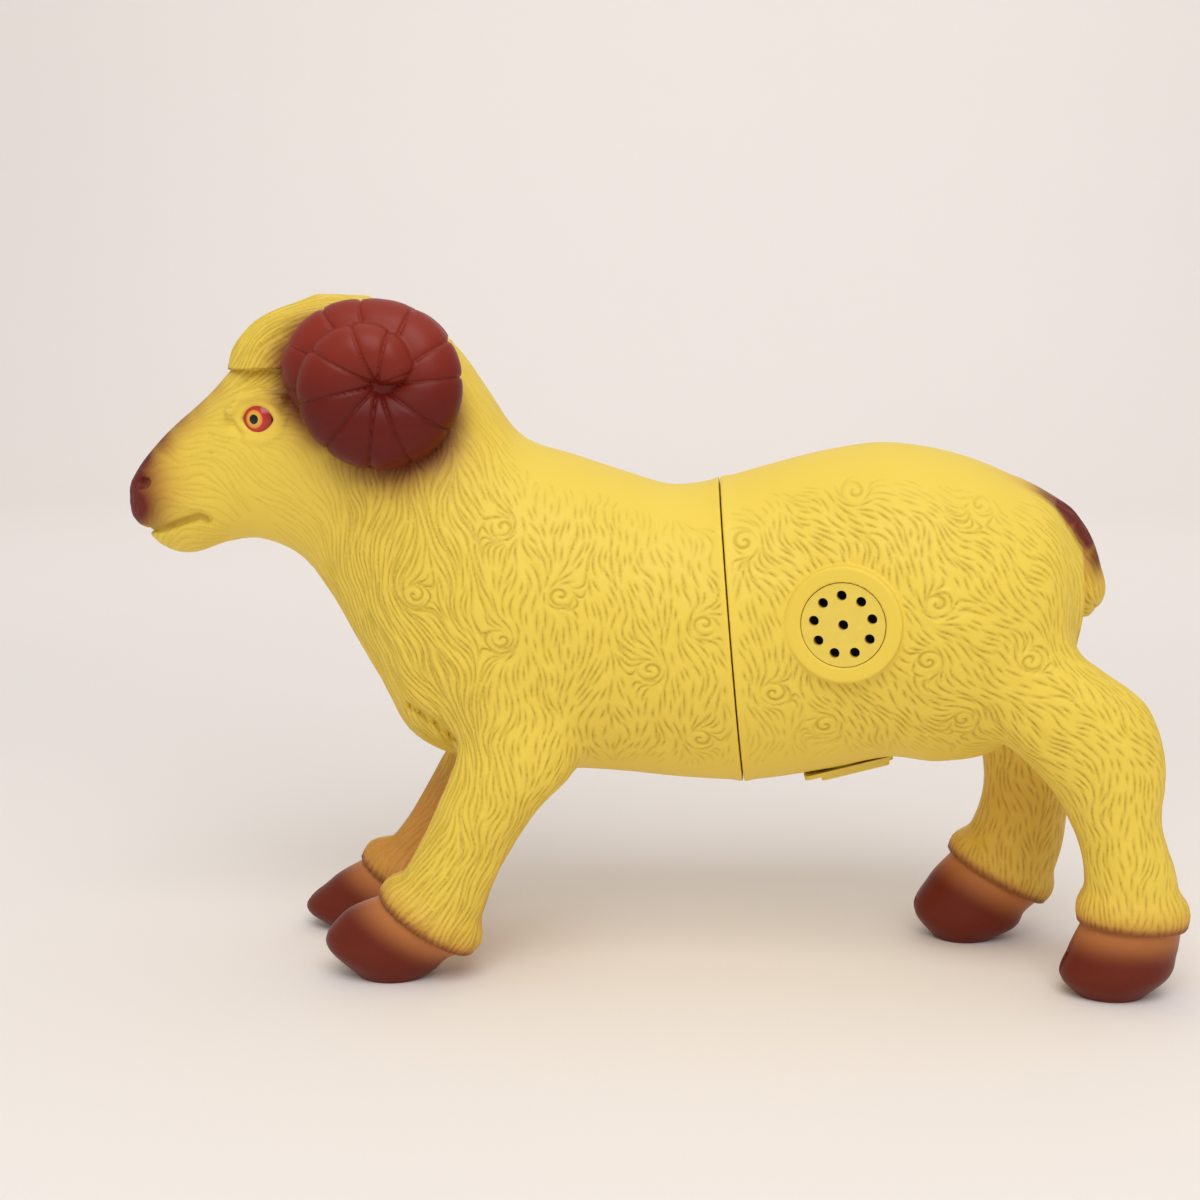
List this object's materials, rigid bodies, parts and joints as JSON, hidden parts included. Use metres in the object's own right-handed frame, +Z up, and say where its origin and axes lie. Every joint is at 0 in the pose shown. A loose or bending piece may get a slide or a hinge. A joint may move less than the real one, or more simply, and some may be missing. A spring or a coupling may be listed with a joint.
{
  "type": "sounding ram figurine",
  "caption": "Hollow standing ram figure with engraved wool, coiled horns, a body that twists at the waist, a sound capsule in its flank and a battery tray under its belly.",
  "frame": {"origin": "on the floor, below the middle of the bounding box", "axes": "+X from the muzzle to the rump, +Y to the animal's right side, +Z up"},
  "size_m": [0.3164, 0.0871, 0.2029],
  "materials": {
    "yellow_vinyl": "satin",
    "horn_vinyl": "satin",
    "hoof_vinyl": "satin",
    "painted_eye": "gloss",
    "yellow_plastic": "satin",
    "white_plastic": "matte",
    "black_plastic": "matte",
    "foam": "matte",
    "plated_steel": "satin",
    "magnet": "matte",
    "cone_film": "satin",
    "copper": "satin",
    "board_laminate": "satin",
    "lead_insulation": "satin"
  },
  "bodies": {
    "rear_half": {"rear_shell": "yellow_vinyl", "rear_left_hoof": "hoof_vinyl", "rear_right_hoof": "hoof_vinyl", "sound_capsule": "yellow_plastic", "capsule_cover": "white_plastic", "capsule_screws": "plated_steel", "speaker_gasket": "foam", "speaker_frame": "plated_steel", "speaker_magnet": "magnet", "speaker_yoke": "plated_steel", "board_spacer": "white_plastic", "circuit_board": "board_laminate", "speaker_leads": "copper", "sound_chip": "black_plastic", "capacitor": "black_plastic", "tilt_can": "plated_steel", "tilt_cap": "black_plastic", "battery_tray": "yellow_plastic", "button_cells": "plated_steel", "contact_leaf": "plated_steel", "contact_strip": "plated_steel", "battery_leads": "lead_insulation"},
    "front_half": {"front_shell": "yellow_vinyl", "left_horn": "horn_vinyl", "right_horn": "horn_vinyl", "left_eye": "painted_eye", "right_eye": "painted_eye", "front_left_hoof": "hoof_vinyl", "front_right_hoof": "hoof_vinyl"},
    "battery_door": {"battery_door": "yellow_plastic", "door_screw": "plated_steel"},
    "speaker_cone": {"speaker_cone": "cone_film", "voice_coil": "copper"},
    "tilt_ball": {"tilt_ball": "plated_steel"}
  },
  "joints": [
    {"name": "waist_twist", "type": "hinge", "parent": "rear_half", "child": "front_half", "pos_m": [0.0249, 0, 0.10275], "axis": [0.996, 0, 0.0893], "range_deg": [-30, 30]},
    {"name": "door_lift", "type": "slide", "parent": "rear_half", "child": "battery_door", "axis": [0.2588, 0, -0.9659], "range_m": [0, 0.012]},
    {"name": "cone_travel", "type": "slide", "parent": "rear_half", "child": "speaker_cone", "axis": [-0.2079, -0.9781, 0], "range_m": [-0.0005, 0.0005], "stiffness_N_per_m": 400},
    {"name": "tilt_roll", "type": "slide", "parent": "rear_half", "child": "tilt_ball", "axis": [0, 0, 1], "range_m": [0, 0.006]}
  ]
}
